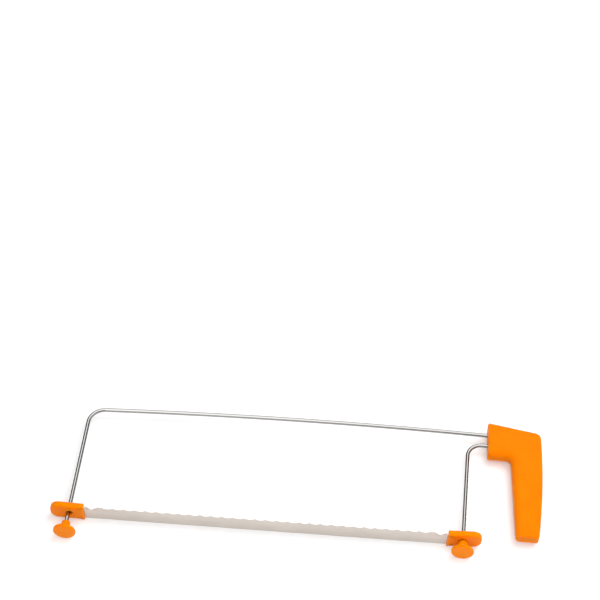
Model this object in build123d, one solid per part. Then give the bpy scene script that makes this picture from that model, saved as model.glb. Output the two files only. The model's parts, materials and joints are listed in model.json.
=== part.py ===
from build123d import *
from math import atan, atan2, cos, floor, radians, sin, sqrt, tan
import os

# A cake leveler, lying on its side on a table.
# A bent steel wire makes the bow: far leg, rail, near leg. Its two ends wear plastic disc feet.
# The wire turns back on itself inside an L-shaped plastic grip, which is made of two shells.
# A thin scalloped blade spans the legs. A plastic clip on each end of it slides along its leg,
# and the notches on the outer side of the legs give it its heights.
#
# While it is drawn, X runs along the rail towards the grip, Y from the feet to the rail and Z up.
# The middle of the rail's wire at the grip's mouth is at zero. All is moved to its own
# origin at the end: the middle of the underside of the space that it takes up.
# A place on a leg is given by how far along the leg it is, from the rail's line to the foot.

# The wire frame
wire_diameter = 3.0
leg_spacing = 300.0
leg_lean = 2.5  # degrees, the feet end leaning away from the grip
near_leg_setback = 14.7
near_leg_length = 109.7
far_leg_length = 115.2
rail_bow = 2.8
far_bend_radius = 13.0
near_bend_radius = 11.0
run_spacing = 10.0
hairpin_reach = 21.0

# The heights
notch_count = 14
notch_pitch = 5.0
notch_depth = 0.45
notch_radius = 1.0

# The feet
foot_diameter = 17.0
foot_disc_thickness = 2.7
foot_height = 9.8
foot_hub_root_diameter = 8.0
foot_hub_top_diameter = 6.4
foot_hub_blend = 1.2
foot_rim_round = 0.9
foot_bore_depth = 8.0

# The clips on the blade's ends
clip_outer_reach = 14.0
clip_inner_reach = 12.0
clip_width = 15.6
clip_thickness = 5.0
clip_outer_corner = 6.6
clip_end_slant = 1.0
clip_tilt = 2.0  # degrees, the outer end towards the rail
clip_edge_round = 1.4
clip_hole_diameter = 5.2
near_clip_lift = 0.3
far_clip_lift = 7.8

# The blade
blade_width = 15.0
blade_thickness = 0.6
blade_drop = 0.5
blade_feet_shift = 0.4
blade_end_reach = 7.5
blade_end_width = 11.0
blade_end_corner = 1.5
blade_eye_diameter = 4.0
scallop_pitch = 8.3
scallop_depth = 1.3
tooth_tip_width = 0.9
grind_width = 1.6
relief_radius = 4.8
relief_depth = 3.2
relief_offset = 4.9

# The grip's outline, seen from the side
mouth_rise = 8.5
mouth_drop = 21.8
mouth_rake = 0.2
elbow_reach = 41.8
elbow_rise = 0.8
elbow_corner = 5.5
back_swell = 1.75
inner_corner_reach = 17.8
inner_corner_drop = 22.3
inner_corner_radius = 4.0
grip_drop = 94.6
grip_end_back_reach = 38.4
grip_end_front_reach = 20.6
grip_end_rise = 0.6
grip_end_corner = 2.0

# The grip's thickness and its two shells
grip_thickness = 12.2
grip_end_thickness = 9.0
grip_inner_round_share = 0.89  # of half the thickness
grip_station_shares = (0, 0.35, 0.7, 1.05)
grip_outer_round = 1.2
shell_wall = 2.0
mouth_wall = 3.4
rib_thickness = 1.6
rib_setback = 0.4
saddle_rib_reach = 12.5
grip_rib_shares = (0.22, 0.4, 0.6, 0.78)
boss_diameter = 6.5
peg_diameter = 3.0
peg_length = 2.0
peg_shares = (0.3, 0.9)
corner_peg_inset = 7.0
post_height = 1.4

# Clearances
wire_seat_clearance = 0.03
wire_running_clearance = 0.08
peg_clearance = 0.05
post_clearance = 0.1
blade_shoulder_clearance = 0.2
peg_end_clearance = 0.5
cut_overrun = 2.0
smooth_angle = 12.0  # degrees, below which two faces run smoothly into each other

wire_radius = wire_diameter / 2
lean = radians(leg_lean)
leg_down = Vector(-sin(lean), -cos(lean), 0)
leg_side = Vector(cos(lean), -sin(lean), 0)
far_leg_setback = near_leg_setback + leg_spacing
mouth_bottom = Vector(0, -mouth_drop)
inner_corner = Vector(inner_corner_reach, -inner_corner_drop)
end_front = Vector(grip_end_front_reach, -grip_drop + grip_end_rise)

near_clip_along = near_leg_length - foot_height - near_clip_lift - clip_thickness / 2
far_clip_along = far_leg_length - foot_height - far_clip_lift - clip_thickness / 2


def on_leg(setback, along):
    """The point of a leg's axis that lies this far along it."""
    return Vector(-setback, 0, 0) + leg_down * along


near_hole = on_leg(near_leg_setback, near_clip_along)
far_hole = on_leg(far_leg_setback, far_clip_along)
blade_direction = (near_hole - far_hole).normalized()

# The rail's bow leaves it slightly steep at both ends, and the runs in the grip keep that slope.
rail_end_slope = 2 * atan(2 * rail_bow / far_leg_setback)
run_in = Vector(cos(rail_end_slope), -sin(rail_end_slope), 0)
run_across = Vector(-sin(rail_end_slope), -cos(rail_end_slope), 0)


def crossing(point, direction, other_point, other_direction):
    """Where two lines in the wire's plane cross."""
    across = direction.X * other_direction.Y - direction.Y * other_direction.X
    gap = other_point - point
    along = (gap.X * other_direction.Y - gap.Y * other_direction.X) / across
    return point + direction * along


def wire_path():
    """The wire's middle line, from the far foot over the rail and the hairpin to the near foot."""
    end_cover = foot_height - foot_bore_depth
    far_end = on_leg(far_leg_setback, far_leg_length - end_cover)
    near_end = on_leg(near_leg_setback, near_leg_length - end_cover)
    far_corner = on_leg(far_leg_setback, 0)
    mouth = Vector(0, 0, 0)
    rail_top = Vector(-far_leg_setback / 2, rail_bow, 0)
    turn_start = mouth + run_in * hairpin_reach
    turn_end = turn_start + run_across * run_spacing
    turn_middle = (turn_start + turn_end) * 0.5 + run_in * (run_spacing / 2)
    near_corner = crossing(turn_end, run_in, on_leg(near_leg_setback, 0), leg_down)
    edges = [
        Edge.make_line(far_end, far_corner),
        Edge.make_three_point_arc(far_corner, rail_top, mouth),
        Edge.make_line(mouth, turn_start),
        Edge.make_three_point_arc(turn_start, turn_middle, turn_end),
        Edge.make_line(turn_end, near_corner),
        Edge.make_line(near_corner, near_end),
    ]
    path = Wire(edges)
    for corner, radius in ((far_corner, far_bend_radius), (near_corner, near_bend_radius)):
        vertex = path.vertices().sort_by_distance(corner)[0]
        path = path.fillet_2d(radius, [vertex])
    return path


def wire_along(path, radius):
    """A round rod along the wire's path."""
    start = path.position_at(0)
    section = Plane(origin=start, z_dir=path.tangent_at(0)) * Circle(radius)
    return sweep(section, path=path)


def notch_cutters(setback, clip_along, outward):
    """The round bites on one leg's outer side. The clip rests at the lowest one."""
    cutters = []
    reach = wire_radius + notch_radius - notch_depth
    for step in range(notch_count):
        place = on_leg(setback, clip_along - step * notch_pitch) + outward * reach
        cutters.append(Pos(*place) * Cylinder(notch_radius, wire_diameter + 2 * cut_overrun))
    return cutters


def make_frame_wire(path):
    cutters = notch_cutters(near_leg_setback, near_clip_along, leg_side)
    cutters += notch_cutters(far_leg_setback, far_clip_along, leg_side * -1)
    return wire_along(path, wire_radius) - cutters


def make_foot(setback, leg_length):
    """A disc with a slim hub, turned about the leg's axis and pushed on the wire's end."""
    rim = foot_diameter / 2
    root = foot_hub_root_diameter / 2
    top = foot_hub_top_diameter / 2
    outline = Polyline(
        (0, 0), (rim, 0), (rim, foot_disc_thickness), (root, foot_disc_thickness),
        (top, foot_height), (0, foot_height), close=True,
    )
    profile = make_face(outline)

    def corner_at(x, y):
        return profile.vertices().sort_by_distance((x, y, 0))[0]

    profile = fillet([corner_at(rim, 0), corner_at(rim, foot_disc_thickness)], foot_rim_round)
    profile = fillet(corner_at(root, foot_disc_thickness), foot_hub_blend)
    foot = revolve(Plane.XZ * profile, axis=Axis.Z)
    bore = Cylinder(wire_radius + wire_seat_clearance, foot_bore_depth + cut_overrun,
                    align=(Align.CENTER, Align.CENTER, Align.MIN))
    foot -= Pos(0, 0, foot_height - foot_bore_depth) * bore
    seat = Plane(origin=on_leg(setback, leg_length), x_dir=(0, 0, 1), z_dir=leg_down * -1)
    return seat * foot


def leg_hole(setback, along, diameter, inward):
    """A hole round a leg. Its outer side almost touches the wire, as the blade pulls it inwards."""
    shift = diameter / 2 - wire_radius - wire_running_clearance
    middle = on_leg(setback, along) + inward * shift
    drill = Cylinder(diameter / 2, clip_thickness + 2 * cut_overrun)
    return Plane(origin=middle, x_dir=(0, 0, 1), z_dir=leg_down) * drill


def scallop_cutters(count, half_thickness):
    """Tilted grinding wheels: each leaves a hollow in the edge and a slanted ground face behind it."""
    tilt = atan2(grind_width, blade_thickness)
    chord = scallop_pitch - tooth_tip_width
    wheel_bite = scallop_depth * cos(tilt)
    wheel_radius = (chord * chord / 4 + wheel_bite * wheel_bite) / (2 * wheel_bite)
    rise = blade_width / 2 - scallop_depth + wheel_radius / cos(tilt)
    wheel_length = 2 * (wheel_radius * tan(tilt) + blade_width)
    cutters = []
    for step in range(count):
        place = (step - (count - 1) / 2) * scallop_pitch
        wheel = Plane(origin=(place, rise, half_thickness), x_dir=(1, 0, 0),
                      z_dir=(0, -grind_width, -blade_thickness))
        cutters.append(wheel * Cylinder(wheel_radius, wheel_length))
    return cutters


def make_blade():
    """The strip, toothed on its upper edge, with a deeper relief beside each clip. Its ends, which
    the clips hide, are narrower."""
    span = (near_hole - far_hole).length
    length = span + 2 * blade_end_reach
    visible = span - 2 * (clip_inner_reach + clip_end_slant / 2 + blade_shoulder_clearance)
    ends = Pos(0, blade_drop) * RectangleRounded(length, blade_end_width, blade_end_corner)
    strip = Rectangle(visible, blade_width) + ends
    blade = extrude(strip, blade_thickness / 2, both=True)
    relief_chord = sqrt(relief_radius ** 2 - (relief_radius - relief_depth) ** 2)
    toothed = visible - 2 * (relief_offset + relief_chord)
    count = max(1, floor(toothed / scallop_pitch))
    cutters = scallop_cutters(count, blade_thickness / 2)
    relief_rise = blade_width / 2 - relief_depth + relief_radius
    for side in (-1, 1):
        place = side * (visible / 2 - relief_offset)
        relief = Cylinder(relief_radius, blade_thickness + 2 * cut_overrun)
        cutters.append(Pos(place, relief_rise, 0) * relief)
    blade -= cutters
    facing = blade_direction.cross(Vector(0, 0, 1))
    middle = (near_hole + far_hole) * 0.5 + facing * blade_feet_shift - Vector(0, 0, blade_drop)
    blade = Plane(origin=middle, x_dir=blade_direction, z_dir=facing) * blade
    blade -= leg_hole(near_leg_setback, near_clip_along, blade_eye_diameter, blade_direction * -1)
    blade -= leg_hole(far_leg_setback, far_clip_along, blade_eye_diameter, blade_direction)
    return blade


def make_clip(setback, along, outward, blade):
    """A flat plastic end moulded round the blade's end, with a hole for the leg. It sits a little
    tilted on its leg, as the blade pulls it."""
    half = clip_width / 2
    slant = clip_end_slant / 2
    outline = Polyline(
        (clip_outer_reach, -half), (clip_outer_reach, half),
        (-clip_inner_reach + slant, half), (-clip_inner_reach - slant, -half), close=True,
    )
    plan = make_face(outline)
    outer = [v for v in plan.vertices() if v.X > 0]
    plan = fillet(outer, min(clip_outer_corner, half - clip_edge_round))
    clip = extrude(plan, clip_thickness / 2, both=True)
    flat_edges = [e for e in clip.edges() if abs(e.center().Z) > clip_thickness / 2 - clip_edge_round / 2]
    clip = fillet(flat_edges, clip_edge_round)
    tilt = radians(clip_tilt)
    tilted = outward * cos(tilt) - leg_down * sin(tilt)
    seat = Plane(origin=on_leg(setback, along), x_dir=tilted, z_dir=tilted.cross(Vector(0, 0, 1)))
    clip = seat * clip
    clip -= leg_hole(setback, along, clip_hole_diameter, outward * -1)
    return clip - blade


def grip_outline(inset):
    """The grip's side view: mouth, sloping top, elbow, swelling back and end. Its inner side is drawn
    too wide, as the cross section shapes that side."""
    spare = cut_overrun + inset
    mouth_top = Vector(mouth_rake, mouth_rise)
    elbow = Vector(elbow_reach, elbow_rise)
    end_back = Vector(grip_end_back_reach, -grip_drop)
    past_front = end_front + (end_front - end_back).normalized() * spare
    past_mouth = mouth_bottom + (mouth_bottom - mouth_top).normalized() * spare
    top = Polyline(past_mouth, mouth_top, elbow)
    back = SagittaArc(elbow, end_back, back_swell)
    front = Polyline(end_back, past_front, inner_corner - Vector(spare, spare), past_mouth)
    face = make_face(Curve() + [top, back, front])
    for corner, radius in ((elbow, elbow_corner), (end_back, grip_end_corner)):
        vertex = face.vertices().sort_by_distance(corner)[0]
        face = fillet(vertex, radius)
    if inset:
        face = offset(face, amount=-inset, kind=Kind.INTERSECTION)
    return face


def grip_section(half):
    """A cross section of the grip, well rounded on its inner side. Its outer side reaches past the back."""
    reach = elbow_reach + cut_overrun
    face = make_face(Polyline((0, -half), (reach, -half), (reach, half), (0, half), close=True))
    inner = [v for v in face.vertices() if v.X < reach / 2]
    return fillet(inner, half * grip_inner_round_share)


def grip_envelope(inset):
    """The cross section carried along the inner side: below the mouth, round the inner corner, and
    down the grip, which gets thinner towards its end."""
    up = Vector(0, 0, 1)
    mouth_way = (inner_corner - mouth_bottom).normalized()
    grip_way = (end_front - inner_corner).normalized()
    mouth_in = up.cross(mouth_way)
    grip_in = up.cross(grip_way)
    centre = inner_corner - (mouth_in + grip_in) * (inner_corner_radius / (1 + mouth_in.dot(grip_in)))
    bend = inner_corner_radius + inset
    half = grip_thickness / 2 - inset
    root = Plane(origin=centre + mouth_in * bend, x_dir=mouth_in, z_dir=mouth_way) * grip_section(half)
    mouth = extrude(root, -(centre - mouth_bottom).dot(mouth_way) - cut_overrun)
    turn = mouth_way.get_angle(grip_way)
    corner = revolve(root, axis=Axis(centre, (0, 0, -1)), revolution_arc=turn)
    length = (end_front - centre).dot(grip_way)
    stations = []
    for share in grip_station_shares:
        thinning = share * share * (grip_thickness - grip_end_thickness) / 2
        place = centre + grip_in * bend + grip_way * (share * length)
        stations.append(Plane(origin=place, x_dir=grip_in, z_dir=grip_way) * grip_section(half - thinning))
    return mouth + corner + loft(stations)


def sharp_edges(body):
    """The edges where two faces meet at an angle."""
    chosen = []
    faces = body.faces()
    for edge in body.edges():
        middle = edge.position_at(0.5)
        sides = [f for f in faces if any(e.is_same(edge) for e in f.edges())]
        if len(sides) == 2:
            angle = sides[0].normal_at(middle).get_angle(sides[1].normal_at(middle))
            if angle > smooth_angle:
                chosen.append(edge)
    return chosen


def grip_body(inset):
    """The grip as one solid, or the hollow inside it, drawn in by the wall's thickness."""
    body = extrude(grip_outline(inset), grip_thickness, both=True) & grip_envelope(inset)
    if not inset:
        body = fillet(sharp_edges(body), grip_outer_round)
    return body


def column(place, radius, low, high):
    """An upright round bar between two heights."""
    bar = Cylinder(radius, high - low, align=(Align.CENTER, Align.CENTER, Align.MIN))
    return Pos(place.X, place.Y, low) * bar


def plate(low_corner, high_corner):
    """A box between two corners."""
    size = [high - low for low, high in zip(low_corner, high_corner)]
    return Pos(*low_corner) * Box(*size, align=(Align.MIN, Align.MIN, Align.MIN))


def grip_middle(share):
    """A place on the middle line of the grip, from its root to its end."""
    root = Vector((inner_corner_reach + elbow_reach) / 2, -inner_corner_drop)
    end = Vector((grip_end_front_reach + grip_end_back_reach) / 2, -grip_drop)
    return root + (end - root) * share


def peg_places():
    """One peg in the elbow's corner, and a row down the grip."""
    corner = Vector(elbow_reach - corner_peg_inset, elbow_rise - corner_peg_inset, 0)
    return [corner] + [grip_middle(share) for share in peg_shares]


def hairpin_middle():
    return run_in * hairpin_reach + run_across * (run_spacing / 2)


def shell_fittings():
    """The ribs, wire saddles and bosses that stand in both shells' hollow, before they are trimmed."""
    half = grip_thickness / 2
    fittings = [
        plate((0, -mouth_drop, -half), (mouth_wall, mouth_rise, half)),
        plate((saddle_rib_reach, -mouth_drop, -half), (saddle_rib_reach + rib_thickness, mouth_rise, half)),
    ]
    for share in grip_rib_shares:
        level = grip_middle(share).Y
        for low, high in ((-half, -rib_setback), (rib_setback, half)):
            fittings.append(plate((0, level, low), (elbow_reach + back_swell, level + rib_thickness, high)))
    for place in peg_places():
        fittings.append(column(place, boss_diameter / 2, -half, half))
    return fittings


def make_shells(path):
    """The grip's front and back shell: thin walls, ribs, saddles for the wire, and pegs in sockets."""
    outer = grip_body(0)
    hollow = grip_body(shell_wall)
    fittings = shell_fittings()
    wire_room = wire_along(path, wire_radius + wire_seat_clearance)
    post_radius = run_spacing / 2 - wire_radius - post_clearance
    half = grip_thickness / 2
    bend = hairpin_middle()
    shells = []
    for keep, post_low, post_high in (
        (Keep.TOP, post_height + post_clearance, half),
        (Keep.BOTTOM, -half, 0),
    ):
        room = split(hollow, bisect_by=Plane.XY, keep=keep)
        shell = split(outer, bisect_by=Plane.XY, keep=keep) - room
        inside = fittings + [column(bend, post_radius, post_low, post_high)]
        shell += [room & fitting for fitting in inside]
        shells.append(shell - wire_room)
    front, back = shells
    for place in peg_places():
        socket_depth = peg_length + peg_end_clearance
        front -= column(place, peg_diameter / 2 + peg_clearance, 0, socket_depth)
        back += column(place, peg_diameter / 2, 0, peg_length)
    back += column(bend, post_radius, 0, post_height)
    return front, back


def make_parts():
    path = wire_path()
    front, back = make_shells(path)
    blade = make_blade()
    return {
        "frame_wire": make_frame_wire(path),
        "handle_front_shell": front,
        "handle_back_shell": back,
        "blade": blade,
        "far_clip": make_clip(far_leg_setback, far_clip_along, blade_direction * -1, blade),
        "near_clip": make_clip(near_leg_setback, near_clip_along, blade_direction, blade),
        "far_foot": make_foot(far_leg_setback, far_leg_length),
        "near_foot": make_foot(near_leg_setback, near_leg_length),
    }


os.makedirs("parts", exist_ok=True)
parts = make_parts()
space = Compound(list(parts.values())).bounding_box()
shift = Vector(-space.center().X, -space.center().Y, -space.min.Z)
for name, piece in parts.items():
    export_step(Pos(*shift) * piece, f"parts/{name}.step")
    print(f"{name}: {len(piece.solids())} solid, {piece.volume / 1000:.2f} cm3, valid {piece.is_valid}")
print(f"size {space.size.X:.2f} x {space.size.Y:.2f} x {space.size.Z:.2f} mm")
print(f"the grip's mouth lies at {shift.X:.3f}, {shift.Y:.3f}, {shift.Z:.3f}")
print(f"the clips' holes lie at {tuple(far_hole + shift)} and {tuple(near_hole + shift)}")
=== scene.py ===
# %% [markdown]
# # A cake leveler on a white table
#
# A cake leveler is a bow of steel wire with a thin scalloped blade across it. It stands on two small feet, and
# the blade cuts a cake into level layers. A grip at one end lets one hand push it.
#
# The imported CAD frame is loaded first. It says where each piece lies and how the blade moves. The blade and the
# two halves of the grip are shown as they come, with finishes of their own. The wire, the clips and the feet
# get new surfaces, each one a formula on a grid of two parameters.

# %% Load the frame
import json

import bmesh
import bpy
import numpy as np
from mathutils import Matrix, Vector


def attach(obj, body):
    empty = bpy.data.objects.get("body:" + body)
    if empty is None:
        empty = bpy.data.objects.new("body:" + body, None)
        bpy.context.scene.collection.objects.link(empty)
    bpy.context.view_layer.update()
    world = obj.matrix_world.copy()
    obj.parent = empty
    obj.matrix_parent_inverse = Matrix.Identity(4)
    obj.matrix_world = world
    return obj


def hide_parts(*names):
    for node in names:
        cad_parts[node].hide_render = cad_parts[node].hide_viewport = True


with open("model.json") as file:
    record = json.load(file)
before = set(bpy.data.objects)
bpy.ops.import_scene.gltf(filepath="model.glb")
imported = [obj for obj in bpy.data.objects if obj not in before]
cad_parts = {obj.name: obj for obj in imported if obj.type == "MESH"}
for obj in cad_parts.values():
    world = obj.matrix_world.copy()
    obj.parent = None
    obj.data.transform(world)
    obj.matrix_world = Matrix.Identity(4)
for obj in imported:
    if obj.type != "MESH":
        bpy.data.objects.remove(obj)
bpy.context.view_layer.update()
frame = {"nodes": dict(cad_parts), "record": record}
print("CAD nodes:", sorted(frame["nodes"]))

# %% [markdown]
# ## Where things are
#
# The sizes below are in millimetres, in a drawing frame whose zero is the middle of the rail's wire where it
# enters the grip. X runs along the rail, Y from the feet to the rail and Z up from the table. Both legs are
# parallel and lean a little, so a place on a leg is given by how far along the leg it is. `to_metres` turns
# such places into the frame that the CAD model uses.

# %% The drawing frame and the legs
MOUTH_PLACE = np.array([145.310, 53.582, 8.5])
LEAN = np.radians(2.5)
LEG_DOWN = np.array([-np.sin(LEAN), -np.cos(LEAN), 0.0])
LEG_SIDE = np.array([np.cos(LEAN), -np.sin(LEAN), 0.0])
UP = np.array([0.0, 0.0, 1.0])
NEAR_SETBACK, FAR_SETBACK = 14.7, 314.7
NEAR_LENGTH, FAR_LENGTH = 109.7, 115.2


def to_metres(points):
    """The drawing's millimetres, moved by the mouth's place, as the CAD frame's metres."""
    return (np.asarray(points) + MOUTH_PLACE) / 1000


def on_leg(setback, along):
    """The leg's top end, moved down the leg."""
    return np.array([-setback, 0.0, 0.0]) + LEG_DOWN * along


print("near foot stands at", np.round(on_leg(NEAR_SETBACK, NEAR_LENGTH), 2))
print("far foot stands at", np.round(on_leg(FAR_SETBACK, FAR_LENGTH), 2))

# %% [markdown]
# ## Two helpers that every new piece uses
#
# Most edges of this tool are bends or rounds between straight runs: the wire's route, a foot's profile, a
# clip's outline. So one function rounds the corners of any chain of straight runs. The other one joins a grid
# of points to a mesh. It merges the doubles at a seam or a pole, so that every piece is closed.

# %% Rounding a chain of runs
FEWEST_ARC_STEPS = 12
STRAIGHT_ON = 1e-6


def rounded_chain(corners, radii, degrees=6.0):
    """Straight runs with an arc at each inner corner. The arc touches both runs at radius * tan(turn / 2) from
    the corner. Its points are the arc's middle plus the radius turned step by step, `degrees` or less each."""
    corners = np.asarray(corners, float)
    pieces = [corners[:1]]
    for before, corner, after, radius in zip(corners[:-2], corners[1:-1], corners[2:], radii):
        way_in = (corner - before) / np.linalg.norm(corner - before)
        way_out = (after - corner) / np.linalg.norm(after - corner)
        turn = np.arctan2(way_in[0] * way_out[1] - way_in[1] * way_out[0], way_in @ way_out)
        if radius == 0 or abs(turn) < STRAIGHT_ON:
            pieces.append(corner[None])
            continue
        side = np.array([-way_in[1], way_in[0]]) * np.sign(turn)
        start = corner - way_in * radius * np.tan(abs(turn) / 2)
        steps = max(FEWEST_ARC_STEPS, int(np.ceil(np.degrees(abs(turn)) / degrees)))
        angle = np.linspace(0, abs(turn), steps + 1)[:, None]
        pieces.append(start + way_in * radius * np.sin(angle) + side * radius * (1 - np.cos(angle)))
    pieces.append(corners[-1:])
    return np.concatenate(pieces)


def ring_chain(corners, radii, degrees=6.0):
    """The same for a closed outline. It starts and ends in the middle of the run before the first corner."""
    corners = np.asarray(corners, float)
    middle = (corners[0] + corners[-1]) / 2
    chain = rounded_chain(np.vstack([middle, corners, middle]), radii, degrees)
    return chain[:-1]


# %% A mesh from a grid
SAME_POINT = 1e-7
SHARP_FROM = np.radians(35)


def walked(grid, axis):
    """How far one has walked to each row or column: the mean steps of the grid along this axis, added up."""
    closed = np.concatenate([grid, np.take(grid, [0], axis=axis)], axis=axis)
    steps = np.linalg.norm(np.diff(closed, axis=axis), axis=2).mean(axis=1 - axis)
    return np.concatenate([[0.0], np.cumsum(steps)])


def grid_piece(name, grid, around, along=False, caps=False, notch_shade=None):
    """Puts a grid of points, shaped rows x columns x 3 in metres, into a mesh. `around` closes each row on
    itself and `along` closes the last row on the first. `caps` fills the first and the last row. The map gives,
    in metres, the way walked along the rows and around the columns, so a pattern can follow the surface.
    `notch_shade` gives, at each point, how much painted shade the finish lays on: nearly black colour in place of
    the notches' shade."""
    rows, columns = grid.shape[:2]
    row, column = np.meshgrid(np.arange(rows - 1 + along), np.arange(columns - 1 + around), indexing="ij")
    corner_row = np.stack([row, row, row + 1, row + 1], axis=-1).reshape(-1)
    corner_column = np.stack([column, column + 1, column + 1, column], axis=-1).reshape(-1)
    quads = (corner_row % rows * columns + corner_column % columns).reshape(-1, 4)
    faces = quads.tolist()
    if caps:
        faces += [list(range(columns))[::-1], list(range((rows - 1) * columns, rows * columns))]
    mesh = bpy.data.meshes.new(name)
    mesh.from_pydata(grid.reshape(-1, 3).tolist(), [], faces)
    places = np.zeros((len(mesh.loops), 2), np.float32)
    places[:len(corner_row), 0] = walked(grid, 0)[corner_row]
    places[:len(corner_row), 1] = walked(grid, 1)[corner_column]
    mesh.uv_layers.new(name="surface").data.foreach_set("uv", places.reshape(-1))
    if notch_shade is not None:
        values = np.zeros(len(mesh.loops), np.float32)
        values[:len(corner_row)] = notch_shade[corner_row % rows, corner_column % columns]
        mesh.attributes.new("notch_shade", "FLOAT", "CORNER").data.foreach_set("value", values)
    work = bmesh.new()
    work.from_mesh(mesh)
    bmesh.ops.remove_doubles(work, verts=work.verts, dist=SAME_POINT)
    bmesh.ops.recalc_face_normals(work, faces=work.faces)
    work.to_mesh(mesh)
    work.free()
    mesh.polygons.foreach_set("use_smooth", np.ones(len(mesh.polygons), bool))
    mesh.set_sharp_from_angle(angle=SHARP_FROM)
    piece = bpy.data.objects.new(name, mesh)
    bpy.context.scene.collection.objects.link(piece)
    print(name, "has", len(mesh.polygons), "faces")
    return piece


# %% Dressing a piece
BODY_OF = {node: body for body, nodes in frame["record"]["behaviour"]["bodies"].items() for node in nodes}


def dress(piece, node, material):
    """The piece rides on its node's body, stands for the node and takes its finish."""
    piece.data.materials.clear()
    piece.data.materials.append(material)
    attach(piece, BODY_OF[node])
    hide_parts(node)


print("bodies:", sorted(set(BODY_OF.values())))

# %% [markdown]
# ## Finishes
#
# There are three: orange moulded plastic, polished wire, and the blade's satin steel. A finish could be one
# flat colour, but real surfaces are never even. So each finish mixes noise at the scale of its own maker's
# marks into its colour, its gloss and its relief. A few helpers build the node trees in small named steps.

# %% Nodes for patterns
def pattern(tree, scale, detail, squeeze=(1, 1, 1), source="Object"):
    """A noise texture on Object coordinates or the piece's own map, squeezed by this much along each axis."""
    place = tree.nodes.new("ShaderNodeTexCoord")
    mapping = tree.nodes.new("ShaderNodeMapping")
    mapping.inputs["Scale"].default_value = squeeze
    texture = tree.nodes.new("ShaderNodeTexNoise")
    texture.inputs["Scale"].default_value = scale
    texture.inputs["Detail"].default_value = detail
    tree.links.new(place.outputs[source], mapping.inputs["Vector"])
    tree.links.new(mapping.outputs["Vector"], texture.inputs["Vector"])
    return texture.outputs["Fac"]


def spread(tree, value, low, high, start=0.3, end=0.7):
    """Maps the span from start to end of a value to the span from low to high."""
    node = tree.nodes.new("ShaderNodeMapRange")
    for socket, number in (("From Min", start), ("From Max", end), ("To Min", low), ("To Max", high)):
        node.inputs[socket].default_value = number
    tree.links.new(value, node.inputs["Value"])
    return node.outputs["Result"]


def calculated(tree, operation, *values):
    """One step of arithmetic on numbers or node outputs."""
    node = tree.nodes.new("ShaderNodeMath")
    node.operation = operation
    for socket, value in zip(node.inputs, values):
        if isinstance(value, (int, float)):
            socket.default_value = value
        else:
            tree.links.new(value, socket)
    return node.outputs[0]


def blended(tree, factor, first, second):
    """A colour between two colours. Each is a triple or a node output."""
    node = tree.nodes.new("ShaderNodeMix")
    node.data_type = "RGBA"
    tree.links.new(factor, node.inputs["Factor"])
    for socket, colour in ((node.inputs[6], first), (node.inputs[7], second)):
        if isinstance(colour, tuple):
            socket.default_value = (*colour, 1)
        else:
            tree.links.new(colour, socket)
    return node.outputs[2]


# %% Nodes for edges and relief
BEND_START, BEND_FULL = 0.02, 0.25
BEVEL_SAMPLES = 4


def edge_wear(tree, width, strength):
    """Where the surface bends within this width: one less the dot product of the normal and the normal that a
    rounded edge would have."""
    rounded = tree.nodes.new("ShaderNodeBevel")
    rounded.samples = BEVEL_SAMPLES
    rounded.inputs["Radius"].default_value = width
    plain = tree.nodes.new("ShaderNodeNewGeometry")
    dot = tree.nodes.new("ShaderNodeVectorMath")
    dot.operation = "DOT_PRODUCT"
    tree.links.new(rounded.outputs["Normal"], dot.inputs[0])
    tree.links.new(plain.outputs["Normal"], dot.inputs[1])
    bend = calculated(tree, "SUBTRACT", 1.0, dot.outputs["Value"])
    return spread(tree, bend, 0, strength, BEND_START, BEND_FULL)


def relief(tree, shader, *layers):
    """Bumps the surface by each height in turn. A layer is a height, a strength and a distance in metres."""
    normal = None
    for height, strength, distance in layers:
        node = tree.nodes.new("ShaderNodeBump")
        node.inputs["Strength"].default_value = strength
        node.inputs["Distance"].default_value = distance
        tree.links.new(height, node.inputs["Height"])
        if normal:
            tree.links.new(normal, node.inputs["Normal"])
        normal = node.outputs["Normal"]
    tree.links.new(normal, shader.inputs["Normal"])


def new_finish(name):
    """A node material with its Principled shader."""
    material = bpy.data.materials.new(name)
    material.use_nodes = True
    tree = material.node_tree
    return material, tree, tree.nodes["Principled BSDF"]


# %% [markdown]
# ### Orange plastic
#
# The feet, the clips and the grip are moulded from dyed plastic. Light goes a little way into it and comes out
# redder, which a plain glossy colour wouldn't show, so the finish scatters light under its skin. The reflection
# is tinted too, because a white one would make the deep orange look pale. The grip's dye is a little redder
# than that of the small pieces, and its two shells show the fine line where they meet.

# %% Orange plastic
PARTING_HEIGHT = 0.0085
PARTING_GROOVE = (0.00003, 0.00016)
SMALL_PIECES_GREEN, GRIP_GREEN = 0.262, 0.23


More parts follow.
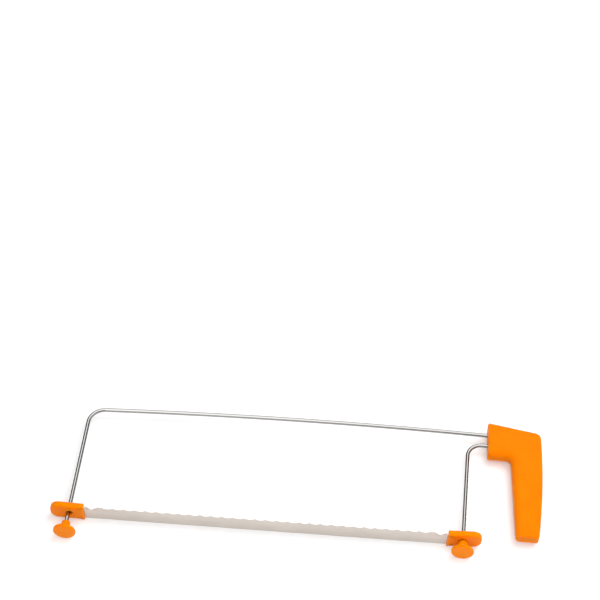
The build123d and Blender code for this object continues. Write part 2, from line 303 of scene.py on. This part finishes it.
def orange_plastic(name, green, parting_line=False):
    """Dyed plastic with faint clouds, a fine moulded skin and edges that are a little paler. The less green its
    dye has, the redder the orange. A parting line lies where the height over the table is near the plane in
    which the shells meet."""
    material, tree, shader = new_finish(name)
    shader.inputs["Specular IOR Level"].default_value = 0.2
    shader.inputs["Specular Tint"].default_value = (1.0, 0.4, 0.02, 1)
    shader.inputs["Subsurface Weight"].default_value = 0.7
    shader.inputs["Subsurface Radius"].default_value = (1.0, 0.25, 0.02)
    shader.inputs["Subsurface Scale"].default_value = 0.003
    clouds = spread(tree, pattern(tree, scale=45, detail=3), 0, 1)
    dye = blended(tree, clouds, (0.97, green, 0.0012), (0.945, green - 0.015, 0.0012))
    wear = edge_wear(tree, width=0.0006, strength=0.5)
    colour = blended(tree, wear, dye, (0.98, green + 0.05, 0.004))
    tree.links.new(colour, shader.inputs["Base Color"])
    handled = spread(tree, pattern(tree, scale=700, detail=4), 0.3, 0.42)
    gloss = calculated(tree, "ADD", handled, spread(tree, wear, 0, 0.15, 0, 1))
    tree.links.new(gloss, shader.inputs["Roughness"])
    waves = pattern(tree, scale=350, detail=2)
    skin = pattern(tree, scale=2600, detail=2)
    layers = [(waves, 0.06, 0.0002), (skin, 0.15, 0.00003)]
    if parting_line:
        place = tree.nodes.new("ShaderNodeTexCoord")
        parts = tree.nodes.new("ShaderNodeSeparateXYZ")
        tree.links.new(place.outputs["Object"], parts.inputs[0])
        away = calculated(tree, "ABSOLUTE", calculated(tree, "SUBTRACT", parts.outputs["Z"], PARTING_HEIGHT))
        layers.append((spread(tree, away, 0, 1, *PARTING_GROOVE), 0.6, 0.0002))
    relief(tree, shader, *layers)
    return material


plastic = orange_plastic("orange_plastic", SMALL_PIECES_GREEN)
grip_plastic = orange_plastic("orange_grip_plastic", GRIP_GREEN, parting_line=True)
print("plastics:", plastic.name, grip_plastic.name)

# %% [markdown]
# ### Polished wire
#
# Wire is drawn through a die, which leaves faint lines along it, and then polished. So the pattern lies on the
# piece's own map and is stretched along the wire. In the notches the finish paints shade: where the surface's
# `notch_shade` value is high, the metal's colour is made nearly black in place of the notches' shade, and
# rougher.

# %% Polished wire
# The last colour is painted shade: nearly black, laid into the notches in place of their shade.
POLISHED_BRIGHT, POLISHED_DULL, NOTCH_SHADE_COLOUR = (0.39, 0.386, 0.378), (0.34, 0.334, 0.323), (0.05, 0.045, 0.04)
NOTCH_SHADE_START, NOTCH_SHADE_FULL, NOTCH_ROUGHNESS = 0.05, 0.8, 0.3

chrome, tree, shader = new_finish("polished_wire")
shader.inputs["Metallic"].default_value = 1.0
shader.inputs["Specular Tint"].default_value = (0.1, 0.095, 0.09, 1)
drawn = pattern(tree, scale=400, detail=3, squeeze=(0.03, 8, 1), source="UV")
# Painted shade: where the attribute read here is high, the metal's colour goes nearly black in the notches, and
# it is rougher.
notch_shade_reader = tree.nodes.new("ShaderNodeAttribute")
notch_shade_reader.attribute_name = "notch_shade"
painted_notch_shade = spread(tree, notch_shade_reader.outputs["Fac"], 0, 1, NOTCH_SHADE_START, NOTCH_SHADE_FULL)
bright = blended(tree, spread(tree, drawn, 0, 1), POLISHED_BRIGHT, POLISHED_DULL)
tree.links.new(blended(tree, painted_notch_shade, bright, NOTCH_SHADE_COLOUR), shader.inputs["Base Color"])
smears = spread(tree, pattern(tree, scale=120, detail=4), 0.03, 0.1)
haze = calculated(tree, "ADD", smears, spread(tree, drawn, 0, 0.05))
tree.links.new(calculated(tree, "MULTIPLY_ADD", painted_notch_shade, NOTCH_ROUGHNESS, haze), shader.inputs["Roughness"])
sway = pattern(tree, scale=90, detail=2, squeeze=(0.2, 1, 1), source="UV")
relief(tree, shader, (sway, 0.03, 0.00005), (drawn, 0.04, 0.00001))
print("wire finish:", chrome.name)

# %% [markdown]
# ### Blade steel
#
# A blade is ground lengthwise from thin strip, so it has a satin look with fine lines along it, and larger soft
# clouds from the rolling. The blade lies almost along X, so the pattern on Object coordinates is stretched
# along X.

# %% Blade steel
SATIN_LIGHT, SATIN_DARK, GROUND_LINE = (0.705, 0.643, 0.59), (0.67, 0.61, 0.56), (0.585, 0.533, 0.49)

steel, tree, shader = new_finish("blade_steel")
shader.inputs["Metallic"].default_value = 1.0
ground = pattern(tree, scale=1200, detail=4, squeeze=(0.02, 1, 1))
clouds = pattern(tree, scale=30, detail=3)
satin = blended(tree, spread(tree, clouds, 0, 1), SATIN_LIGHT, SATIN_DARK)
lined = blended(tree, spread(tree, ground, 0, 0.35), satin, GROUND_LINE)
tree.links.new(lined, shader.inputs["Base Color"])
worn = calculated(tree, "ADD", spread(tree, ground, 0.3, 0.42), spread(tree, clouds, 0, 0.06))
tree.links.new(worn, shader.inputs["Roughness"])
relief(tree, shader, (ground, 0.12, 0.00003), (pattern(tree, scale=60, detail=2), 0.05, 0.0003))
print("blade finish:", steel.name)

# %% [markdown]
# ## The wire
#
# One steel wire, 3 mm thick, makes the whole bow: far leg, rail, a hairpin inside the grip, and the near leg.
# A wire is bent over round pins, so its route is a chain of straight runs with round corners. The rail bows up
# a little, which is one more corner with a very large radius. The tube is the route with a circle carried along
# it. The notches that hold the blade are round bites in the outer side of each leg, and they are part of the
# formula: where a bite reaches, the tube's surface is pushed in to the bite's arc.

# %% The wire's route
WIRE_RADIUS = 1.5
RAIL_BOW, RAIL_ROUND_SHARE = 2.8, 0.9
END_COVER = 1.8
FAR_BEND, NEAR_BEND, HAIRPIN_BEND = 13.0, 11.0, 5.0
HAIRPIN_REACH = 21.0

slope = 2 * np.arctan(2 * RAIL_BOW / FAR_SETBACK)
run_in = np.array([np.cos(slope), -np.sin(slope)])
run_across = np.array([-np.sin(slope), -np.cos(slope)])
turn_start = run_in * HAIRPIN_REACH
turn_end = turn_start + run_across * 2 * HAIRPIN_BEND


def crossing(point, way, other, other_way):
    """Where two lines in the plane cross: the way along the first one solves a pair of linear equations."""
    along = np.linalg.solve(np.column_stack([way, -other_way]), other - point)[0]
    return point + way * along


far_corner = on_leg(FAR_SETBACK, 0)[:2]
near_corner = crossing(turn_end, run_in, on_leg(NEAR_SETBACK, 0)[:2], LEG_DOWN[:2])
rail_middle = crossing(np.zeros(2), run_in, np.array([-FAR_SETBACK / 2, 0]), np.array([0.0, 1.0]))
corners = [
    on_leg(FAR_SETBACK, FAR_LENGTH - END_COVER)[:2],
    far_corner,
    rail_middle,
    turn_start + run_in * HAIRPIN_BEND,
    turn_end + run_in * HAIRPIN_BEND,
    near_corner,
    on_leg(NEAR_SETBACK, NEAR_LENGTH - END_COVER)[:2],
]
rail_radius = RAIL_ROUND_SHARE * np.linalg.norm(rail_middle - far_corner) / np.tan(slope)
bends = [FAR_BEND, rail_radius, HAIRPIN_BEND, HAIRPIN_BEND, NEAR_BEND]
route = rounded_chain(corners, bends, degrees=4.0)
print("the route has", len(route), "points")

# %% Points closer together along the legs
LEG_STEP, RAIL_STEP = 0.14, 4.0


def refine(points, longest):
    """Adds points on each run, so that no step is longer than this."""
    lengths = np.linalg.norm(np.diff(points, axis=0), axis=1)
    counts = np.maximum(1, np.ceil(lengths / longest).astype(int))
    share = np.concatenate([np.arange(n) / n for n in counts])
    start = np.repeat(np.arange(len(counts)), counts)
    dense = points[start] + (points[start + 1] - points[start]) * share[:, None]
    return np.vstack([dense, points[-1:]])


far_run = refine(route[:2], LEG_STEP)
middle_run = refine(route[1:-1], RAIL_STEP)
near_run = refine(route[-2:], LEG_STEP)
line = np.vstack([far_run, middle_run[1:], near_run[1:]])
line = np.column_stack([line, np.zeros(len(line))])
print("the tube gets", len(line), "rings")

# %% The tube and its bites
NOTCH_COUNT, NOTCH_PITCH, NOTCH_RADIUS, NOTCH_DEPTH = 14, 5.0, 1.0, 0.45
NEAR_CLIP, FAR_CLIP = 97.1, 95.1
# How far inside a notch's limit the painted shade of the notches starts, on each leg.
NEAR_NOTCH_SHADE_MARGIN, FAR_NOTCH_SHADE_MARGIN = 0.7, 0.1
ON_LEG_WITHIN = 0.01


def notch_limit(points, setback, clip_along):
    """How far out the wire's surface may reach at each ring. A bite's arc stands at the wire's radius plus the
    bite's radius less its depth. Inside the bite's chord the limit is that distance less the arc's height."""
    along = (points - on_leg(setback, 0)) @ LEG_DOWN
    step = np.clip(np.round((clip_along - along) / NOTCH_PITCH), 0, NOTCH_COUNT - 1)
    gap = along - (clip_along - step * NOTCH_PITCH)
    arc = np.sqrt(np.clip(NOTCH_RADIUS ** 2 - gap ** 2, 0, None))
    off_leg = np.linalg.norm(points - on_leg(setback, 0) - along[:, None] * LEG_DOWN, axis=1)
    reach = WIRE_RADIUS + NOTCH_RADIUS - NOTCH_DEPTH
    return np.where((off_leg < ON_LEG_WITHIN) & (arc > 0), reach - arc, 2 * WIRE_RADIUS)


def wire_surface(line, count=36):
    """A circle carried along the line: point + side * cos * radius + up * sin * radius. On a leg, the part of
    the circle that lies further out than the notch's limit is set back to it. Also gives how much painted shade
    each point gets in place of the notches' shade: from 0 at a margin inside a notch's limit to 1 at the limit.
    The near leg's notches face away from the camera, so their painted shade has the wider margin."""
    way = np.gradient(line, axis=0)
    way /= np.linalg.norm(way, axis=1, keepdims=True)
    side = np.cross(way, UP)
    angle = np.linspace(0, 2 * np.pi, count, endpoint=False)
    reach_side = WIRE_RADIUS * np.cos(angle)[None, :] * np.ones((len(line), 1))
    reach_up = WIRE_RADIUS * np.sin(angle)[None, :] * np.ones((len(line), 1))
    notch_shade = np.zeros(reach_side.shape)
    for setback, clip_along, outward, margin in (
        (NEAR_SETBACK, NEAR_CLIP, LEG_SIDE, NEAR_NOTCH_SHADE_MARGIN),
        (FAR_SETBACK, FAR_CLIP, -LEG_SIDE, FAR_NOTCH_SHADE_MARGIN),
    ):
        limit = notch_limit(line, setback, clip_along)[:, None]
        sign = np.sign(side @ outward)[:, None]
        # Painted shade for the notches, which the wire's finish turns into nearly black colour.
        notch_shade += np.clip((sign * reach_side - limit) / margin + 1, 0, 1)
        reach_side = sign * np.minimum(sign * reach_side, limit)
    return line[:, None] + side[:, None] * reach_side[..., None] + UP * reach_up[..., None], notch_shade


# The second value is the notches' painted shade.
surface, notch_shade = wire_surface(line)
wire = grid_piece("bow_wire", to_metres(surface), around=True, caps=True, notch_shade=notch_shade)
dress(wire, "frame_wire", chrome)

# %% [markdown]
# ## The feet
#
# Each foot is a plastic disc with a slim hub, pushed on the wire's end. It is round about the leg, so a turned
# profile makes it: the profile's corners are rounded first and then carried round the leg's axis.

# %% Turned feet
FOOT_RADIUS, DISC_THICKNESS, FOOT_HEIGHT = 8.5, 2.7, 9.8
HUB_ROOT, HUB_TOP, BORE_RADIUS = 4.0, 3.2, 1.53
RIM_ROUND, HUB_ROOT_ROUND, HUB_TOP_ROUND, BORE_ROUND = 0.9, 1.2, 1.33, 0.15

foot_profile = rounded_chain(
    [(0, 0), (FOOT_RADIUS, 0), (FOOT_RADIUS, DISC_THICKNESS), (HUB_ROOT, DISC_THICKNESS),
     (HUB_TOP, FOOT_HEIGHT), (BORE_RADIUS, FOOT_HEIGHT), (BORE_RADIUS, END_COVER), (0, END_COVER)],
    [RIM_ROUND, RIM_ROUND, HUB_ROOT_ROUND, HUB_TOP_ROUND, BORE_ROUND, 0], degrees=10.0)


def turned_surface(profile, foot, axis, side, count=72):
    """Each profile point (reach, height) goes round the axis: foot + axis * height + reach * (side * cos +
    other * sin), where `other` is square to the axis and the side."""
    other = np.cross(axis, side)
    angle = np.linspace(0, 2 * np.pi, count, endpoint=False)
    round_way = np.cos(angle)[:, None] * side + np.sin(angle)[:, None] * other
    return foot + axis * profile[:, 1, None, None] + round_way * profile[:, 0, None, None]


for name, node, setback, length in (
    ("near_foot_disc", "near_foot", NEAR_SETBACK, NEAR_LENGTH),
    ("far_foot_disc", "far_foot", FAR_SETBACK, FAR_LENGTH),
):
    surface = turned_surface(foot_profile, on_leg(setback, length), -LEG_DOWN, LEG_SIDE)
    dress(grid_piece(name, to_metres(surface), around=True), node, plastic)

# %% [markdown]
# ## The clips
#
# The blade's ends are moulded into flat plastic clips, and a leg passes through a hole in each. A clip is a
# ring in its build, like a washer with a long outline. So its grid runs once round the outline, and its other
# parameter goes from the hole over one flat side, round the edge, back over the other side and down the hole.

# %% Rings from hole to edge
CLIP_OUTER, CLIP_INNER, CLIP_HALF_WIDTH, CLIP_HALF_THICKNESS = 14.0, 12.0, 7.8, 2.5
CLIP_SLANT, EDGE_ROUND, HOLE_RADIUS, HOLE_ROUND = 0.5, 1.4, 2.6, 0.25
INNER_CORNER, OUTER_CORNER = 0.5, 6.4
CLIP_TILT = np.radians(2.0)
CLIP_CLEARANCE = 0.08
HOLE_SHIFT = HOLE_RADIUS - WIRE_RADIUS - CLIP_CLEARANCE
OUTLINE_STEP = 0.8
EDGE_POINTS, RIM_POINTS, FLAT_POINTS = 9, 5, 9

outline = ring_chain(
    [(-CLIP_INNER - CLIP_SLANT, -CLIP_HALF_WIDTH), (CLIP_OUTER, -CLIP_HALF_WIDTH),
     (CLIP_OUTER, CLIP_HALF_WIDTH), (-CLIP_INNER + CLIP_SLANT, CLIP_HALF_WIDTH)],
    [INNER_CORNER, OUTER_CORNER, OUTER_CORNER, INNER_CORNER], degrees=5.0)
outline = refine(np.vstack([outline, outline[:1]]), OUTLINE_STEP)[:-1]
print("a clip's outline has", len(outline), "points")


def clip_surface(outline, setback, along, outward):
    """Each section starts in the hole's wall, crosses the flat side to where the edge's round starts, follows a
    quarter circle out and another one back, and returns. In the plan it is hole + (1 - share) * hole radius +
    share * (outline - inset). The inset and the height follow the sine and cosine of the round."""
    before, after = np.roll(outline, 1, axis=0), np.roll(outline, -1, axis=0)
    way = (after - before) / np.linalg.norm(after - before, axis=1, keepdims=True)
    inward = np.column_stack([-way[:, 1], way[:, 0]])
    hole = np.array([-HOLE_SHIFT, 0.0])
    ray = (outline - hole) / np.linalg.norm(outline - hole, axis=1, keepdims=True)
    turn = np.linspace(0, np.pi / 2, EDGE_POINTS)
    inset = EDGE_ROUND * (1 - np.sin(turn))
    edge_height = CLIP_HALF_THICKNESS - EDGE_ROUND * (1 - np.cos(turn))
    rim_turn = np.linspace(0, np.pi / 2, RIM_POINTS)
    rim_reach = HOLE_RADIUS + HOLE_ROUND * (1 - np.cos(rim_turn))
    rim_height = CLIP_HALF_THICKNESS - HOLE_ROUND * (1 - np.sin(rim_turn))
    rim = hole + ray[None] * rim_reach[:, None, None]
    edge = outline[None] + inward[None] * inset[:, None, None]
    share = np.linspace(0, 1, FLAT_POINTS)[1:-1, None, None]
    flat = rim[-1][None] * (1 - share) + edge[0][None] * share
    plan = np.concatenate([rim, flat, edge])
    height = np.concatenate([rim_height, np.full(len(flat), CLIP_HALF_THICKNESS), edge_height])
    plan = np.concatenate([plan, plan[::-1]])
    height = np.concatenate([height, -height[::-1]])
    tilted = outward * np.cos(CLIP_TILT) - LEG_DOWN * np.sin(CLIP_TILT)
    tilted /= np.linalg.norm(tilted)
    facing = np.cross(tilted, UP)
    centre = on_leg(setback, along)
    return centre + tilted * plan[..., 0, None] + UP * plan[..., 1, None] + facing * height[:, None, None]


near_hole, far_hole = on_leg(NEAR_SETBACK, NEAR_CLIP), on_leg(FAR_SETBACK, FAR_CLIP)
blade_way = (near_hole - far_hole) / np.linalg.norm(near_hole - far_hole)
for name, node, setback, along, outward in (
    ("near_clip_body", "near_clip", NEAR_SETBACK, NEAR_CLIP, blade_way),
    ("far_clip_body", "far_clip", FAR_SETBACK, FAR_CLIP, -blade_way),
):
    surface = clip_surface(outline, setback, along, outward)
    dress(grid_piece(name, to_metres(surface), around=True, along=True), node, plastic)

# %% [markdown]
# ## The blade and the grip
#
# These three come from the CAD model with the right shapes: the wheel-cut scallops of the blade, and the two
# moulded halves of the grip. They only need their finishes.

# %% Finishes for the CAD pieces
for node, material in (
    ("blade", steel),
    ("handle_front_shell", grip_plastic),
    ("handle_back_shell", grip_plastic),
):
    mesh = frame["nodes"][node].data
    mesh.materials.clear()
    mesh.materials.append(material)
    print(node, "gets", material.name)

# %% [markdown]
# ## The table
#
# The tool lies on a white table. In the photograph its white is clean right up to the rims of the pieces, and
# only a faint orange glow is left of the shadows. Stronger lamps would do that too, but they would bleach the
# plastic. So the table's own finish does it: rays from the camera and rays that metal mirrors see a table a
# little brighter than the one that bounces light on the tool, with some even white mixed in.

# %% White table
TABLE_HALF = 3.0
BOUNCED_WHITE, CAMERA_EXTRA, MIRRORED_EXTRA = 0.83, 0.26, 0.16
EVEN_WHITE_SHARE = 0.25

table_mesh = bpy.data.meshes.new("table")
table_corners = [(-TABLE_HALF, -TABLE_HALF, 0), (TABLE_HALF, -TABLE_HALF, 0),
                 (TABLE_HALF, TABLE_HALF, 0), (-TABLE_HALF, TABLE_HALF, 0)]
table_mesh.from_pydata(table_corners, [], [(0, 1, 2, 3)])
table = bpy.data.objects.new("table", table_mesh)
bpy.context.scene.collection.objects.link(table)

white, tree, shader = new_finish("white_table")
tree.nodes.remove(shader)
path = tree.nodes.new("ShaderNodeLightPath")
from_camera = path.outputs["Is Camera Ray"]
from_mirror = calculated(tree, "ADD", path.outputs["Is Glossy Ray"], path.outputs["Is Transmission Ray"])
whiteness = calculated(tree, "MULTIPLY_ADD", from_mirror, MIRRORED_EXTRA, BOUNCED_WHITE)
whiteness = calculated(tree, "MULTIPLY_ADD", from_camera, CAMERA_EXTRA, whiteness)
matt = tree.nodes.new("ShaderNodeBsdfDiffuse")
tree.links.new(whiteness, matt.inputs["Color"])
even_white = tree.nodes.new("ShaderNodeEmission")
seen = calculated(tree, "ADD", from_camera, from_mirror)
mixed = tree.nodes.new("ShaderNodeMixShader")
tree.links.new(calculated(tree, "MULTIPLY", seen, EVEN_WHITE_SHARE), mixed.inputs["Fac"])
tree.links.new(matt.outputs[0], mixed.inputs[1])
tree.links.new(even_white.outputs[0], mixed.inputs[2])
tree.links.new(mixed.outputs[0], tree.nodes["Material Output"].inputs["Surface"])
table_mesh.materials.append(white)
print("the table is", 2 * TABLE_HALF, "m wide")


# %% [markdown]
# ## Light
#
# Two soft boxes light the plastic. The key stands behind and to the right, so the grip's inner round turns
# darker than its flat side. The fill stands in front, so the feet and the clips stay bright.
#
# Metal only shows what it mirrors, and thin bright wire needs dark lines along its edges to stand out from a
# white table. So mirrored rays see neither lamp. They see a room that is nearly black up to a bright ceiling,
# with a bright strip in front, a bright wall behind and bright walls to the left and right. In a world, the
# Generated output is the direction that a ray goes in.

# %% Soft boxes
def soft_box(name, place, width, watts):
    """A flat square lamp that faces the middle of the tool, which is the scene's zero. It lights matt surfaces
    and the plastic. Mirrored rays don't see it."""
    data = bpy.data.lights.new(name, "AREA")
    data.shape = "RECTANGLE"
    data.size = data.size_y = width
    data.energy = watts
    lamp = bpy.data.objects.new(name, data)
    lamp.location = place
    lamp.rotation_euler = (-Vector(place)).to_track_quat("-Z", "Y").to_euler()
    lamp.visible_glossy = False
    bpy.context.scene.collection.objects.link(lamp)
    print(name, "gives", watts, "W")


soft_box("key", place=(0.5, 0.35, 1.2), width=1.0, watts=11.5)
soft_box("fill", place=(0.1, -0.9, 1.1), width=1.6, watts=9.0)

# %% The room
CEILING_FROM, CEILING_BACK_FROM, CEILING_FRONT_LIGHT, CEILING_BACK_LIGHT = (0.66, 0.74), (0.4, 0.6), 2.3, 1.75
STRIP_LEFT, STRIP_RIGHT, STRIP_FRONT, STRIP_LIGHT = (-0.13, -0.09), (-0.02, 0.03), (-0.3, -0.1), 0.9
BACK_WALL_FROM, BACK_WALL_SIDES, BACK_WALL_LIGHT = (0.5, 0.7), (0.2, 0.3), 1.2
SIDE_WALLS_FROM, SIDE_WALLS_FOOT, SIDE_WALLS_LIGHT = (0.82, 0.88), (0.02, 0.12), 0.8
ROOM_DARK, ROOM_LIGHT, BACKDROP_LIGHT = 0.01, 0.5, 1.0

room = bpy.data.worlds.new("studio")
room.use_nodes = True
tree = room.node_tree
direction = tree.nodes.new("ShaderNodeTexCoord")
parts = tree.nodes.new("ShaderNodeSeparateXYZ")
tree.links.new(direction.outputs["Generated"], parts.inputs[0])
rightwards, backwards, upwards = parts.outputs["X"], parts.outputs["Y"], parts.outputs["Z"]
sideways = calculated(tree, "ABSOLUTE", rightwards)

ceiling = calculated(tree, "MULTIPLY", spread(tree, upwards, ROOM_DARK, 1, *CEILING_FROM),
                     spread(tree, backwards, CEILING_FRONT_LIGHT, CEILING_BACK_LIGHT, *CEILING_BACK_FROM))
strip_width = calculated(tree, "MULTIPLY", spread(tree, rightwards, 0, 1, *STRIP_LEFT),
                         spread(tree, rightwards, 1, 0, *STRIP_RIGHT))
strip = calculated(tree, "MULTIPLY", strip_width, spread(tree, backwards, 1, 0, *STRIP_FRONT))
back_wall = calculated(tree, "MULTIPLY", spread(tree, backwards, 0, 1, *BACK_WALL_FROM),
                       spread(tree, sideways, 1, 0, *BACK_WALL_SIDES))
side_walls = calculated(tree, "MULTIPLY", spread(tree, sideways, 0, 1, *SIDE_WALLS_FROM),
                        spread(tree, upwards, 0, SIDE_WALLS_LIGHT, *SIDE_WALLS_FOOT))
mirrored = calculated(tree, "ADD", side_walls, ceiling)
mirrored = calculated(tree, "MULTIPLY_ADD", back_wall, BACK_WALL_LIGHT, mirrored)
mirrored = calculated(tree, "MULTIPLY_ADD", strip, STRIP_LIGHT, mirrored)

path = tree.nodes.new("ShaderNodeLightPath")
from_camera = path.outputs["Is Camera Ray"]
unmirrored = calculated(tree, "MULTIPLY_ADD", from_camera, BACKDROP_LIGHT - ROOM_LIGHT, ROOM_LIGHT)
strength = tree.nodes.new("ShaderNodeMix")
tree.links.new(path.outputs["Is Glossy Ray"], strength.inputs["Factor"])
tree.links.new(unmirrored, strength.inputs["A"])
tree.links.new(mirrored, strength.inputs["B"])
tree.links.new(strength.outputs["Result"], tree.nodes["Background"].inputs["Strength"])
tree.nodes["Background"].inputs["Color"].default_value = (1, 1, 1, 1)
bpy.context.scene.world = room
print("the room has", len(tree.nodes), "nodes")

# %% [markdown]
# ## Camera
#
# The camera stands where the photograph was taken from. Its place, its turn and its lens were fitted to points
# on the photographed outline: bends of the wire, rims of the feet and corners of the grip.

# %% Camera
camera_data = bpy.data.cameras.new("camera")
camera_data.sensor_width = 36
camera_data.lens = 107.01
camera_data.clip_start = 0.05
camera = bpy.data.objects.new("camera", camera_data)
bpy.context.scene.collection.objects.link(camera)
right = Vector((0.99775939, 0.05972282, 0.03015608))
up = Vector((-0.0652095, 0.76728177, 0.63798621))
back = Vector((0.01496412, -0.63852319, 0.76945709))
place = Vector(to_metres((-133.714, -827.385, 1149.722)))
camera.matrix_world = Matrix((
    (right.x, up.x, back.x, place.x),
    (right.y, up.y, back.y, place.y),
    (right.z, up.z, back.z, place.z),
    (0, 0, 0, 1),
))
bpy.context.scene.camera = camera
bpy.context.scene.view_settings.view_transform = "Standard"
print("the camera stands", round(place.length, 2), "m from the scene's zero")
